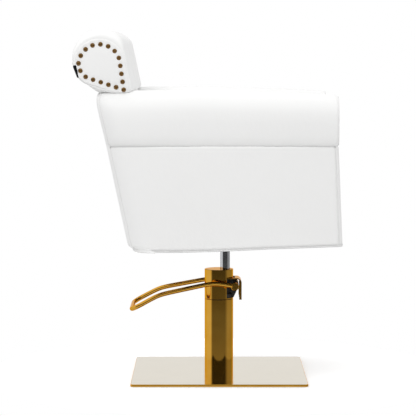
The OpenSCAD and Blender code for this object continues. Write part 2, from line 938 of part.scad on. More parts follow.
// A screw's axis runs across the handle, square to its face
module handle_screw_frame(s) {
  middle = (handle_low + handle_high) / 2;
  along = handle_high - handle_low;
  translate([s * handle_screw_x, middle[0], middle[1]])
    rotate([atan2(along[1], along[0]) - 180, 0, 0]) children();
}

module handle_screw_hole(s) {
  handle_screw_frame(s) translate([0, 0, -40]) cylinder(h = 60, r = 2.6);
}

module handle_screws() {
  color("dimgray") for (s = [-1, 1]) handle_screw_frame(s) {
    translate([0, 0, -30]) cylinder(h = 32, r = 2.4);
  }
}

base_mat();
base_plate();
base_cover();
base_bolts();
column_sleeve();
reservoir_tube();
cylinder_foot();
inner_cylinder();
pump_head();
rod_seal();
head_collar();
collar_screw();
lever_guard();
guard_screws();
plunger();
plunger_spring();
lever_loop();
rocker_shaft();
rocker_arm();
lever_bolts();
piston();
piston_seal();
piston_rod();
rod_nut();
seat_bracket();
bracket_bolts();
tee_nuts();
dust_cover();
seat_board();
seat_rails();
corner_blocks();
seat_deck();
seat_cushion();
seat_front_panel();
arm_bolts();
arm_frame(true);  // arm_frame_left
arm_frame(false);  // arm_frame_right
side_panel(true);  // side_panel_left
side_panel(false);  // side_panel_right
front_panel(true);  // front_panel_left
front_panel(false);  // front_panel_right
inner_arm_pad(true);  // inner_arm_pad_left
inner_arm_pad(false);  // inner_arm_pad_right
arm_roll(true);  // arm_roll_left
arm_roll(false);  // arm_roll_right
back_frame();
back_pad();
outer_back_panel();
back_roll();
roll_board(true);  // roll_board_left
roll_board(false);  // roll_board_right
end_cap(true);  // end_cap_left
end_cap(false);  // end_cap_right
end_cap_nails(true);  // end_cap_nails_left
end_cap_nails(false);  // end_cap_nails_right
rear_handle();
handle_screws();
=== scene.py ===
"""Looks of the styling chair: upholstery, metal finishes, nails, stitching, studio and camera."""
import json
import math

import bmesh
import bpy
import numpy as np
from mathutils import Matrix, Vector


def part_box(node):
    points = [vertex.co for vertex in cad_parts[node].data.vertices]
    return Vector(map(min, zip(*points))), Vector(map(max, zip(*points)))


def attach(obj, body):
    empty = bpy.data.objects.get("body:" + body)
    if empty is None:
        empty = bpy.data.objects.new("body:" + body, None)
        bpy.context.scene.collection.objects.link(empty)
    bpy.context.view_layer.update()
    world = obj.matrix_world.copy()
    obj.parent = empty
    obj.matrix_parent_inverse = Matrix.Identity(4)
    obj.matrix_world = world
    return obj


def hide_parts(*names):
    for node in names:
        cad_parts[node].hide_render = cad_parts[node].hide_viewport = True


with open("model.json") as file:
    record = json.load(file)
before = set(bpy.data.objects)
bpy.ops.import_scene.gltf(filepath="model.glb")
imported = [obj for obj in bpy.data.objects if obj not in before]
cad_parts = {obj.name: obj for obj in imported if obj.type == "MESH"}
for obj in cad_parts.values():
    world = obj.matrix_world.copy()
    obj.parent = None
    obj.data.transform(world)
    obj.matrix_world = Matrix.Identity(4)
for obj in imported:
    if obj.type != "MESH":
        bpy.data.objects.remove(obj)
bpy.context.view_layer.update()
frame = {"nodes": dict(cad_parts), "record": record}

MM = 0.001

# ------------------------------------------------------------------ sizes, from the frame


def low(node):
    return np.array(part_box(node)[0], float)


def high(node):
    return np.array(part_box(node)[1], float)


PANEL_X = high("side_panel_left")[0]
ARM_X = high("arm_roll_left")[0]
PAD_X = high("back_pad")[0] + 0.4 * MM
SEAM_Z = low("arm_roll_left")[2]
BODY_Z = low("side_panel_left")[2]
CREST_Z = high("arm_roll_left")[2]
FRONT_LOW_Y = low("front_panel_left")[1]
FRONT_HIGH_Y = low("arm_roll_left")[1]
REAR_LOW = np.array([231, 367.6]) * MM
LEAN = math.radians(12.1)
NECK_Z = low("back_roll")[2]
ROLL_TOP = high("back_roll")[2]
ROLL_R = 71 * MM
ROLL_C = np.array([297 * MM, ROLL_TOP - ROLL_R])
CAP_X = high("end_cap_left")[0]
BACK_T = 102 * MM
CUSHION_Z = high("seat_cushion")[2]
DECK_Z = high("seat_deck")[2]
PIVOT = np.array([-41.8, 237.2]) * MM


def rear_y(z):
    return REAR_LOW[0] + (z - REAR_LOW[1]) * math.tan(LEAN)


def face_y(z):
    return rear_y(z) - BACK_T


def front_y(z):
    share = min(max((z - BODY_Z) / (SEAM_Z - BODY_Z), 0.0), 1.0)
    return FRONT_LOW_Y + share * (FRONT_HIGH_Y - FRONT_LOW_Y)


# ------------------------------------------------------------------ materials


class Nodes:
    """A short way to write a material's nodes."""

    def __init__(self, name):
        self.mat = bpy.data.materials.new(name)
        self.mat.use_nodes = True
        self.tree = self.mat.node_tree
        self.bsdf = self.tree.nodes["Principled BSDF"]
        self.coords = self.add("ShaderNodeTexCoord").outputs["Object"]

    def add(self, kind, **settings):
        node = self.tree.nodes.new(kind)
        for key, value in settings.items():
            setattr(node, key, value)
        return node

    def link(self, a, b):
        self.tree.links.new(a, b)

    def put(self, socket, value):
        if hasattr(value, "is_output"):
            self.link(value, socket)
        else:
            socket.default_value = value

    def noise(self, scale, detail=3.0, rough=0.5, vector=None):
        node = self.add("ShaderNodeTexNoise")
        self.link(vector or self.coords, node.inputs["Vector"])
        node.inputs["Scale"].default_value = scale
        node.inputs["Detail"].default_value = detail
        node.inputs["Roughness"].default_value = rough
        return node.outputs["Fac"]

    def voronoi(self, scale, feature="F1", vector=None):
        node = self.add("ShaderNodeTexVoronoi", feature=feature)
        self.link(vector or self.coords, node.inputs["Vector"])
        node.inputs["Scale"].default_value = scale
        return node.outputs["Distance"]

    def stretched(self, x, y, z):
        node = self.add("ShaderNodeMapping")
        self.link(self.coords, node.inputs["Vector"])
        node.inputs["Scale"].default_value = (x, y, z)
        return node.outputs["Vector"]

    def ramp(self, fac, stops):
        node = self.add("ShaderNodeValToRGB")
        self.link(fac, node.inputs["Fac"])
        ramp = node.color_ramp
        while len(ramp.elements) < len(stops):
            ramp.elements.new(0.5)
        for element, (place, colour) in zip(ramp.elements, stops):
            element.position = place
            element.color = (*colour, 1) if len(colour) == 3 else (colour[0],) * 3 + (1,)
        return node.outputs["Color"]

    def math(self, operation, a, b):
        node = self.add("ShaderNodeMath", operation=operation)
        self.put(node.inputs[0], a)
        self.put(node.inputs[1], b)
        return node.outputs[0]

    def bump(self, height, distance, strength=1.0, under=None):
        node = self.add("ShaderNodeBump")
        node.inputs["Strength"].default_value = strength
        node.inputs["Distance"].default_value = distance
        self.link(height, node.inputs["Height"])
        if under is not None:
            self.link(under, node.inputs["Normal"])
        return node.outputs["Normal"]

    def spread(self, fac, a, b):
        node = self.add("ShaderNodeMapRange")
        self.link(fac, node.inputs["Value"])
        node.inputs["To Min"].default_value = a
        node.inputs["To Max"].default_value = b
        return node.outputs["Result"]

    def finish(self, colour=None, rough=None, normal=None, **values):
        if colour is not None:
            self.put(self.bsdf.inputs["Base Color"], colour)
        if rough is not None:
            self.put(self.bsdf.inputs["Roughness"], rough)
        if normal is not None:
            self.link(normal, self.bsdf.inputs["Normal"])
        for key, value in values.items():
            self.bsdf.inputs[key.replace("_", " ")].default_value = value
        return self.mat


def leather(name, light, shade):
    n = Nodes(name)
    tone = n.ramp(n.noise(7, 4, 0.6), [(0.25, shade), (0.75, light)])
    pebble = n.voronoi(620, "SMOOTH_F1")
    fine = n.noise(1500, 2, 0.6)
    creases = n.noise(60, 5, 0.62, n.stretched(1.0, 1.6, 1.0))
    grain = n.math("ADD", n.math("MULTIPLY", pebble, 0.8), n.math("MULTIPLY", fine, 0.4))
    normal = n.bump(grain, 0.00016, 0.55)
    normal = n.bump(creases, 0.0009, 0.35, normal)
    normal = n.bump(n.noise(8, 3, 0.45), 0.004, 0.14, normal)
    rough = n.spread(n.noise(23, 4, 0.6), 0.34, 0.5)
    return n.finish(tone, rough, normal, Specular_IOR_Level=0.45, Coat_Weight=0.06, Coat_Roughness=0.28)


def thread(name, colour):
    n = Nodes(name)
    tone = n.ramp(n.noise(900, 2, 0.5), [(0.3, tuple(0.86 * c for c in colour)), (0.7, colour)])
    return n.finish(tone, n.spread(n.noise(700), 0.5, 0.7), n.bump(n.noise(2400), 0.0001, 0.6))


def polished(name, light, dark, rough_low, rough_high, brushed=0.0, coat=0.0,
             edge=(1, 1, 1, 1)):
    n = Nodes(name)
    tone = n.ramp(n.noise(14, 3, 0.5), [(0.35, dark), (0.65, light)])
    rough = n.spread(n.noise(60, 4, 0.65), rough_low, rough_high)
    smudge = n.bump(n.noise(18, 2, 0.5), 0.0006, 0.05)
    scratch = n.bump(n.noise(500, 3, 0.6, n.stretched(1, 1, 0.02)), 0.00004, 0.12 + brushed, smudge)
    return n.finish(tone, rough, scratch, Metallic=1.0, Coat_Weight=coat, Coat_Roughness=0.1,
                    Specular_Tint=edge)


def cast_iron(name):
    n = Nodes(name)
    tone = n.ramp(n.noise(120, 4, 0.7), [(0.3, (0.035, 0.035, 0.037)), (0.7, (0.075, 0.075, 0.078))])
    return n.finish(tone, n.spread(n.noise(80), 0.42, 0.62), n.bump(n.noise(600, 3, 0.7), 0.0004, 0.6),
                    Metallic=0.7)


def dark_coat(name):
    n = Nodes(name)
    tone = n.ramp(n.noise(40, 4, 0.6), [(0.3, (0.018, 0.018, 0.019)), (0.7, (0.035, 0.035, 0.036))])
    return n.finish(tone, n.spread(n.noise(90), 0.34, 0.5), n.bump(n.noise(900), 0.0002, 0.4))


def plywood(name):
    n = Nodes(name)
    rings = n.add("ShaderNodeTexWave", wave_type="BANDS", bands_direction="X")
    n.link(n.stretched(1, 0.2, 1), rings.inputs["Vector"])
    rings.inputs["Scale"].default_value = 30
    rings.inputs["Distortion"].default_value = 7
    rings.inputs["Detail"].default_value = 3
    tone = n.ramp(rings.outputs["Fac"], [(0.2, (0.42, 0.27, 0.14)), (0.8, (0.62, 0.44, 0.26))])
    return n.finish(tone, n.spread(n.noise(50), 0.55, 0.75), n.bump(rings.outputs["Fac"], 0.0004, 0.4))


def rubber(name):
    n = Nodes(name)
    tone = n.ramp(n.noise(200, 3, 0.6), [(0.3, (0.012, 0.012, 0.012)), (0.7, (0.03, 0.03, 0.03))])
    return n.finish(tone, n.spread(n.noise(70), 0.6, 0.8), n.bump(n.voronoi(300), 0.0004, 0.5))


def black_gloss(name):
    n = Nodes(name)
    tone = n.ramp(n.noise(30, 3, 0.6), [(0.3, (0.006, 0.006, 0.007)), (0.7, (0.014, 0.014, 0.015))])
    return n.finish(tone, n.spread(n.noise(35, 4, 0.6), 0.07, 0.16), n.bump(n.noise(25), 0.0006, 0.08),
                    Coat_Weight=0.5, Coat_Roughness=0.05)


def antique(name):
    n = Nodes(name)
    # Antique wear mixed with a painted highlight: the lightest stop, scattered by noise over the heads,
    # stands in for their highlight.
    wear_and_highlight = n.noise(420, 3, 0.6)
    tone = n.ramp(wear_and_highlight, [(0.3, (0.12, 0.06, 0.022)), (0.55, (0.27, 0.15, 0.05)), (0.8, (0.5, 0.31, 0.13))])
    return n.finish(tone, n.spread(wear_and_highlight, 0.3, 0.48), n.bump(n.noise(700, 2), 0.0003, 0.5), Metallic=1.0)


def cloth_black(name):
    n = Nodes(name)
    tone = n.ramp(n.noise(700, 2), [(0.3, (0.012, 0.012, 0.012)), (0.7, (0.035, 0.035, 0.035))])
    return n.finish(tone, n.spread(n.noise(90), 0.8, 0.95), n.bump(n.noise(1500, 2), 0.0003, 0.7))


M = {
    "white_leather": leather("white_leather", (0.85, 0.85, 0.845), (0.835, 0.835, 0.83)),
    # piping is a darker copy of the white leather: painted shade along the seams its cords sit in.
    "piping": leather("piping_leather", (0.80, 0.80, 0.795), (0.74, 0.74, 0.735)),
    "thread": thread("white_thread", (0.78, 0.78, 0.775)),
    "polished_gold": polished("polished_gold", (0.80, 0.44, 0.07), (0.72, 0.37, 0.05), 0.04, 0.10,
                              edge=(1.0, 0.66, 0.25, 1)),
    # pale_gold is a paler, coated copy of the polished gold: on the base cover's top it is a painted
    # reflection of the white room.
    "pale_gold": polished("pale_gold", (0.86, 0.73, 0.48), (0.83, 0.70, 0.45), 0.10, 0.17, coat=1.0),
    "chrome_steel": polished("chrome_steel", (0.70, 0.71, 0.73), (0.64, 0.65, 0.67), 0.06, 0.14,
                             edge=(0.08, 0.08, 0.09, 1)),
    "bright_steel": polished("bright_steel", (0.56, 0.56, 0.57), (0.46, 0.46, 0.47), 0.22, 0.36, 0.2),
    "dark_steel": dark_coat("dark_steel"),
    "cast_pump_head": cast_iron("cast_pump_head"),
    "plywood": plywood("plywood"),
    "black_rubber": rubber("black_rubber"),
    "black_gloss": black_gloss("black_gloss"),
    "antique_brass": antique("antique_brass"),
    "dust_cloth": cloth_black("dust_cloth"),
}


def finish_cad_nodes():
    """Every CAD node takes the material of its slot; those with a piece of their own are hidden later."""
    for sub in frame["record"]["subparts"]:
        obj = frame["nodes"][sub["node"]]
        obj.data.materials.clear()
        obj.data.materials.append(M[sub["material_slot"]])


# ------------------------------------------------------------------ making pieces


def add_piece(name, verts, faces, material, body="chair"):
    mesh = bpy.data.meshes.new(name)
    mesh.from_pydata([tuple(map(float, v)) for v in verts], [], [tuple(map(int, f)) for f in faces])
    mesh.validate()
    mesh.update()
    work = bmesh.new()
    work.from_mesh(mesh)
    bmesh.ops.recalc_face_normals(work, faces=work.faces)
    work.to_mesh(mesh)
    work.free()
    obj = bpy.data.objects.new(name, mesh)
    shade_smooth(obj)
    bpy.context.scene.collection.objects.link(obj)
    obj.data.materials.append(M[material])
    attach(obj, body)
    return obj


def grid_faces(rows, cols, wrap_cols=False, wrap_rows=False):
    faces = []
    for i in range(rows if wrap_rows else rows - 1):
        for j in range(cols if wrap_cols else cols - 1):
            a, b = i * cols + j, i * cols + (j + 1) % cols
            c, d = ((i + 1) % rows) * cols + (j + 1) % cols, ((i + 1) % rows) * cols + j
            faces.append((a, b, c, d))
    return faces


def capped_faces(rows, cols):
    """Faces round a stack of closed rings, with a face over each end."""
    last = (rows - 1) * cols
    return grid_faces(rows, cols, wrap_cols=True) + [tuple(range(cols)), tuple(range(last, last + cols))]


def shade_smooth(obj):
    for polygon in obj.data.polygons:
        polygon.use_smooth = True


def points_of(obj):
    return np.array([v.co[:] for v in obj.data.vertices])


def set_points(obj, points):
    obj.data.vertices.foreach_set("co", points.astype(np.float32).ravel())


def thicken(obj, thickness):
    """Gives a sheet its leather's thickness, for good."""
    mod = obj.modifiers.new("thickness", "SOLIDIFY")
    mod.thickness = thickness
    mod.offset = -1.0
    mod.use_even_offset = False
    apply_modifiers(obj)


def apply_modifiers(obj):
    graph = bpy.context.evaluated_depsgraph_get()
    mesh = bpy.data.meshes.new_from_object(obj.evaluated_get(graph))
    obj.modifiers.clear()
    old = obj.data
    obj.data = mesh
    bpy.data.meshes.remove(old)


def mirrored(points):
    out = np.array(points, float)
    out[..., 0] *= -1
    return out


def spline(points, per_span, closed=False):
    """A Catmull-Rom curve through the points."""
    p = np.array(points, float)
    n = len(p)
    out = []
    for i in range(n if closed else n - 1):
        a = p[(i - 1) % n] if closed or i else p[0]
        b, c = p[i], p[(i + 1) % n]
        d = p[(i + 2) % n] if closed or i + 2 < n else p[-1]
        for k in range(per_span):
            t = k / per_span
            out.append(0.5 * (2 * b + (c - a) * t + (2 * a - 5 * b + 4 * c - d) * t * t
                              + (3 * b - a - 3 * c + d) * t ** 3))
    if not closed:
        out.append(p[-1])
    return np.array(out)


def resample(points, count, closed=False):
    p = np.array(points, float)
    if closed:
        p = np.vstack([p, p[:1]])
    s = np.concatenate([[0], np.cumsum(np.linalg.norm(np.diff(p, axis=0), axis=1))])
    at = np.linspace(0, s[-1], count + 1 if closed else count)
    out = np.stack([np.interp(at, s, p[:, k]) for k in range(p.shape[1])], axis=1)
    return out[:-1] if closed else out


def tube(name, path, radius, material, body="chair", sides=12):
    """A round cord along a path, with rounded ends."""
    p = np.array(path, float)
    n = len(p)
    verts = []
    tangents = np.gradient(p, axis=0)
    tangents /= np.linalg.norm(tangents, axis=1)[:, None]
    helper = np.array([0.31, 0.17, 0.93])
    side = np.cross(helper, tangents[0])
    side /= np.linalg.norm(side)
    frames = []
    for t in tangents:
        side = side - t * np.dot(side, t)
        side /= np.linalg.norm(side)
        frames.append((side.copy(), np.cross(t, side)))
    ends = [math.radians(a) for a in (70, 45, 20)]
    rings = ([(0, -math.sin(a), math.cos(a)) for a in ends] + [(i, 0.0, 1.0) for i in range(n)]
             + [(n - 1, math.sin(a), math.cos(a)) for a in reversed(ends)])
    for i, along, wide in rings:
        a, b = frames[i]
        centre = p[i] + tangents[i] * along * radius
        for k in range(sides):
            angle = 2 * math.pi * k / sides
            verts.append(centre + radius * wide * (math.cos(angle) * a + math.sin(angle) * b))
    return add_piece(name, verts, capped_faces(len(rings), sides), material, body)


def stitches(name, path, normals, pitch=4.2 * MM, length=3.0 * MM, radius=0.42 * MM, material="thread"):
    """A row of short raised stitches along a path on a surface."""
    p = np.array(path, float)
    nrm = np.array(normals, float)
    s = np.concatenate([[0], np.cumsum(np.linalg.norm(np.diff(p, axis=0), axis=1))])
    verts, faces = [], []
    sides = 6
    for start in np.arange(pitch / 2, s[-1] - length, pitch):
        at = [start + length * f for f in (0, 0.12, 0.5, 0.88, 1.0)]
        rise = (-0.5, 0.45, 0.8, 0.45, -0.5)
        wide = (0.45, 0.85, 1.0, 0.85, 0.45)
        centre = [np.array([np.interp(a, s, p[:, k]) for k in range(3)]) for a in at]
        normal = np.array([np.interp(at[2], s, nrm[:, k]) for k in range(3)])
        normal /= np.linalg.norm(normal)
        along = centre[-1] - centre[0]
        along /= np.linalg.norm(along)
        across = np.cross(along, normal)
        base = len(verts)
        for c, r, w in zip(centre, rise, wide):
            for k in range(sides):
                angle = 2 * math.pi * k / sides
                verts.append(c + normal * radius * r
                             + radius * w * (math.cos(angle) * across + math.sin(angle) * normal))
        faces += [tuple(base + v for v in f) for f in grid_faces(5, sides, wrap_cols=True)]
        faces.append(tuple(base + k for k in range(sides)))
        faces.append(tuple(base + 4 * sides + k for k in range(sides)))
    return add_piece(name, verts, faces, material)


# ------------------------------------------------------------------ the body's outer covers

FRONT_R = 18 * MM
REAR_R = 52 * MM
FRONT_SEAM = math.radians(60)
REAR_SEAM = math.radians(35)
SIDE_CROWN = 4 * MM
ARM_OUTSIDE = [(620, 301), (624, 305), (640, 310.5), (665, 313), (690, 312.8), (715, 308.5), (735, 299),
               (748, 287), (755, 272)]


def half_width(z):
    """Half of the body's width at a height: fuller over the arm rolls."""
    share = (z - BODY_Z) / (SEAM_Z - BODY_Z)
    if share < 1:
        return PANEL_X - 3.5 * MM + 3.5 * MM * math.sin(math.pi * max(share, 0))
    heights, widths = np.array(ARM_OUTSIDE).T * MM
    return float(np.interp(z, heights, widths)) + SIDE_CROWN


def arc_points(cx, cy, radius, angles, front):
    """Points and outward normals of a corner in plan; angles are counted from the front or rear normal."""
    sx, sy = np.sin(angles), np.cos(angles) * (-1 if front else 1)
    normals = np.stack([sx, sy], axis=1)
    return np.array([cx, cy]) + radius * normals, normals


def rear_edge(z):
    """Rear face of the covers: rounded under at the bottom, and forwards again at the top of the arms."""
    depth = min(max((BODY_Z + 20 * MM - z) / (20 * MM), 0), 1)
    above = max(z - 722 * MM, 0)
    bulge = 1.2 * MM * math.exp(-((z - 705 * MM) / (40 * MM)) ** 2)
    return (rear_y(z) + bulge - 20 * MM * (1 - math.sqrt(1 - depth ** 2))
            - 55 * MM * (1 - math.sqrt(1 - (above / (55 * MM)) ** 2)))


def front_arc(z, angles):
    return arc_points(half_width(z) - SIDE_CROWN - FRONT_R, front_y(z) + FRONT_R, FRONT_R, angles, True)


def rear_arc(z, angles):
    return arc_points(half_width(z) - SIDE_CROWN - REAR_R, rear_edge(z) - REAR_R, REAR_R, angles, False)


def join(*parts):
    return np.vstack([p for p, _ in parts]), np.vstack([n for _, n in parts])


def straight(a, b, normal, count, swell=0.0, power=1.0):
    """A nearly straight stretch between two points in plan, swelling along its normal."""
    t = np.linspace(0, 1, count)[1:-1, None]
    normals = np.repeat([normal], len(t), axis=0).astype(float)
    return a + t * (b - a) + normals * swell * np.sin(math.pi * t) ** power, normals


def side_plan(z):
    """Plan of the side cover at a height: from the front seam round the side to the rear seam."""
    front = front_arc(z, np.linspace(FRONT_SEAM, math.pi / 2, 8))
    rear = rear_arc(z, np.linspace(math.pi / 2, REAR_SEAM, 18))
    return join(front, straight(front[0][-1], rear[0][0], (1, 0), 150, SIDE_CROWN, 0.8), rear)


def front_plan(z):
    """Plan of an arm's front cover: from the seat side to the front seam."""
    corner = front_arc(z, np.linspace(0, FRONT_SEAM, 12))
    edge = 7 * MM
    x, y = PAD_X + 1 * MM + edge, corner[0][0][1] + edge
    inner = arc_points(x, y, edge, np.linspace(-math.pi / 2, 0, 8), True)
    back = np.array([[inner[0][0][0], y + d] for d in np.linspace(34 * MM, 0, 9)[:-1]])
    side = (back, np.repeat([(-1.0, 0.0)], len(back), axis=0))
    return join(side, inner, straight(inner[0][-1], corner[0][0], (0, -1), 24, 1.5 * MM), corner)


def back_plan(z):
    """Plan of the outer back cover, from one rear seam to the other."""
    right = rear_arc(z, np.linspace(REAR_SEAM, 0, 14))
    left = (right[0][::-1] * (-1, 1), right[1][::-1] * (-1, 1))
    return join(right, straight(right[0][-1], left[0][0], (0, 1), 130, 3 * MM), left)


def pucker(s, distance, phase):
    """Small gathers that fade away from a seam."""
    wave = np.sin(s / (5.3 * MM) + phase) + 0.7 * np.sin(s / (12.7 * MM) + 2.1 * phase)
    return 0.22 * MM * wave * np.exp(-distance / (8 * MM))


BOTTOM = [(-310, 367.5), (-289, 367), (-126, 361.5), (-3, 355.5), (112, 352.5), (212, 352.5), (235, 352.5)]


def bottom_z(y):
    """Lower edge of the body: it hangs a little lower behind its middle."""
    return np.interp(y, *(np.array(BOTTOM).T * MM))


def edge_profile(z0, z1, r0, r1, tuck0, tuck1, rows):
    """Heights and insets from a cover's lower edge to its upper one, both rolled in."""
    lower = np.linspace(math.pi / 2, 0, 9)
    upper = np.linspace(0, math.pi / 2, 8)
    heights = [z0 + 0.5 * MM, *(z0 + r0 * (1 - np.sin(math.pi / 2 - lower))),
               *np.linspace(z0 + r0, z1 - r1, rows)[1:-1],
               *(z1 - r1 * (1 - np.sin(upper))), z1 - 0.2 * MM]
    insets = [tuck0, *(r0 * (1 - np.cos(lower))), *([0.0] * (rows - 2)),
              *(r1 * (1 - np.cos(upper))), tuck1]
    return heights, insets


def cover(name, plan, z1, r0, r1, rows, replaces, groove=None, mirror=False):
    """A leather cover wrapped round the body, rolled in at its four edges. Returns its outer surface."""
    grid, outward = [], []
    edge = 5 * MM
    heights, insets = edge_profile(BODY_Z, z1, r0, r1, r0 + 16 * MM, r1 + 5 * MM, rows)
    for z, inset in zip(heights, insets):
        points, normals = plan(z)
        s = np.concatenate([[0], np.cumsum(np.linalg.norm(np.diff(points, axis=0), axis=1))])
        from_end = np.minimum(s, s[-1] - s)
        roll = 2.6 * MM * (1 - np.sqrt(1 - (1 - np.minimum(from_end / edge, 1)) ** 2))
        depth = np.full(len(s), inset) + roll
        depth += pucker(s, z1 - z, 0.3) + pucker(z * 0.9, from_end, 1.1)
        if groove is not None:
            depth += 0.9 * MM * math.exp(-(((z1 - z) - groove) / (2.0 * MM)) ** 2)
        points = points - normals * depth[:, None]
        share = min(max((z - BODY_Z) / (SEAM_Z - BODY_Z), 0), 1)
        rise = (bottom_z(points[:, 1]) - BODY_Z) * (1 - share)
        grid.append(np.column_stack([points, z + rise]))
        outward.append(np.column_stack([normals, np.zeros(len(s))]))
    grid, outward = np.array(grid), np.array(outward)
    if mirror:
        grid, outward = mirrored(grid), mirrored(outward)
    piece = add_piece(name, grid.reshape(-1, 3), grid_faces(*grid.shape[:2]), "white_leather")
    face_outwards(piece, outward.reshape(-1, 3))
    thicken(piece, 2.2 * MM)
    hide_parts(*replaces)
    return grid, outward


def face_outwards(obj, outward):
    """Turns a sheet's faces to the side its normals point to."""
    mesh = obj.data
    polygon = mesh.polygons[len(mesh.polygons) // 2]
    normal = Vector(outward[polygon.vertices[0]])
    if polygon.normal.dot(normal) < 0:
        mesh.flip_normals()


def row_at(grid, outward, height, lift=0.0):
    """The line of a cover's outer surface at a height, with its normals."""
    rows = np.mean(grid[..., 2], axis=1)
    i = int(np.argmin(np.abs(rows[8:-6] - height))) + 8
    share = (height - rows[i]) / (rows[i + 1] - rows[i])
    line = grid[i] + share * (grid[i + 1] - grid[i])
    return line + outward[i] * lift, outward[i]


def side_name(mirror):
    return "right" if mirror else "left"


def make_body_covers():
    for mirror in (False, True):
        side = side_name(mirror)
        grid, outward = cover(f"side_cover_{side}", side_plan, SEAM_Z, 8 * MM, 9 * MM, 56,
                              [f"side_panel_{side}"], groove=9.5 * MM, mirror=mirror)
        line, normals = row_at(grid, outward, SEAM_Z - 9.5 * MM, -0.5 * MM)
        stitches(f"side_topstitch_{side}", line[6:-4], normals[6:-4])
        seam_cords(side, grid, outward)
        cover(f"front_cover_{side}", front_plan, SEAM_Z, 8 * MM, 8 * MM, 48,
              [f"front_panel_{side}"], mirror=mirror)
    cover("back_cover", back_plan, high("outer_back_panel")[2], 8 * MM, 8 * MM, 90,
          ["outer_back_panel"])


def seam_cords(side, grid, outward):
    """The thin leather cords sewn into a side cover's front and rear edges."""
    body = slice(6, -8)
    for end, column, sunk in (("front", 0, 1.5), ("rear", -1, 2.4)):
        path = grid[body, column] - outward[body, column] * (sunk - 2.6) * MM
        tube(f"{end}_piping_{side}", resample(path, 90), 1.7 * MM, "piping")


# ------------------------------------------------------------------ arm rolls

ARM_INSIDE = [(756.5, 262), (753, 246), (743, 234), (725, 227), (700, 225), (650, 225), (622, 227),
              (617, 233)]
CREST = [(-300, 745.5), (-282, 747), (-226, 749.5), (-88, 754.5), (51, 758), (135, 758), (213, 757),
         (262, 756), (320, 755)]


def arm_section():
    """An arm roll's section across the chair: X, and the share of the height from the seam to the crest."""
    outside = [(617, 295), (619, 300), *ARM_OUTSIDE[1:]]
    points = np.array([(x, z) for z, x in outside + ARM_INSIDE], float) * MM
    curve = resample(spline(points, 12, closed=True), 140, closed=True)
    curve[:, 1] = (curve[:, 1] - SEAM_Z) / (CREST_Z - SEAM_Z)
    return curve


def arm_ring(section, across, y_at, inset=0.0):
    """A ring of the arm roll. `across` scales its width from the inner side, `y_at` gives Y from the
    heights, and `inset` moves each point towards the ring's middle."""
    rough = SEAM_Z + section[:, 1] * (CREST_Z - SEAM_Z)
    y = y_at(rough)
    crest = np.interp(y, *(np.array(CREST).T * MM))
    x = PAD_X + (section[:, 0] - PAD_X) * across
    z = SEAM_Z + section[:, 1] * (crest - SEAM_Z)
    flat = np.column_stack([x, z])
    inward = flat.mean(axis=0) - flat
    flat = flat + inward * inset / np.linalg.norm(inward, axis=1)[:, None]
    return np.column_stack([flat[:, 0], y, flat[:, 1]])


def make_arm_roll(mirror):
    side = side_name(mirror)
    section = arm_section()
    edge, puff = 9 * MM, 2.5 * MM
    front = arm_ring(section, 1, lambda z: np.full(len(z), FRONT_HIGH_Y), edge)
    middle = front.mean(axis=0)
    rings = [middle + share * (front - middle) - (0, puff * (1 - share ** 2), 0)
             for share in (0.0, 0.2, 0.4, 0.6, 0.8, 0.93)]
    rings += [arm_ring(section, 1, lambda z, a=a: np.full(len(z), FRONT_HIGH_Y + edge * (1 - math.cos(a))),
                       edge * (1 - math.sin(a))) for a in np.linspace(0, math.pi / 2, 9)]
    front_y_at = FRONT_HIGH_Y + edge

    def rear_plane(z):
        return np.array([rear_edge(min(h, 754 * MM)) for h in z])

    for t in np.linspace(0, 1, 100)[1:]:
        ring = arm_ring(section, 1, lambda z, t=t: front_y_at + t * (rear_plane(z) - REAR_R - front_y_at))
        rings.append(ring)
    for a in np.linspace(math.pi / 2, REAR_SEAM, 18)[1:]:
        across = 1 - REAR_R * (1 - math.sin(a)) / (ARM_X - PAD_X)
        back = REAR_R * (1 - math.cos(a))
        rings.append(arm_ring(section, across, lambda z, b=back: rear_plane(z) - b))
    end = rings[-1]
    middle = end.mean(axis=0)
    rings += [middle + share * (end - middle) + (0, 1 * MM, 0) for share in (0.97, 0.6, 0.0)]
    rings = np.array(rings)
    above = (rings[..., 2] - SEAM_Z) / (14 * MM)
    rings[..., 0] -= 0.35 * MM * np.sin(rings[..., 1] / (17 * MM)) * np.exp(-above)
    if mirror:
        rings = mirrored(rings)
    count, cols = rings.shape[:2]
    piece = add_piece(f"arm_roll_cover_{side}", rings.reshape(-1, 3), grid_faces(count, cols, wrap_cols=True),
                      "white_leather")
    weld(piece)
    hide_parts(f"arm_roll_{side}")
    for end, ring in (("front", rings[9]), ("rear", rings[-4])):
        tube(f"arm_{end}_piping_{side}", above_seam(ring), 1.8 * MM, "piping")


def above_seam(ring):
    """The stretch of a closed ring that lies above the seam, from one side to the other."""
    low_part = ring[:, 2] < SEAM_Z + 2 * MM
    start = int(np.argmax(low_part & ~np.roll(low_part, -1)))
    return np.roll(ring, -start - 1, axis=0)[:int((~low_part).sum())]


def weld(obj, distance=0.02 * MM):
    work = bmesh.new()
    work.from_mesh(obj.data)
    bmesh.ops.remove_doubles(work, verts=work.verts, dist=distance)
    bmesh.ops.dissolve_degenerate(work, dist=distance, edges=work.edges)
    bmesh.ops.recalc_face_normals(work, faces=work.faces)
    work.to_mesh(obj.data)
    work.free()
    shade_smooth(obj)


# ------------------------------------------------------------------ flat pads


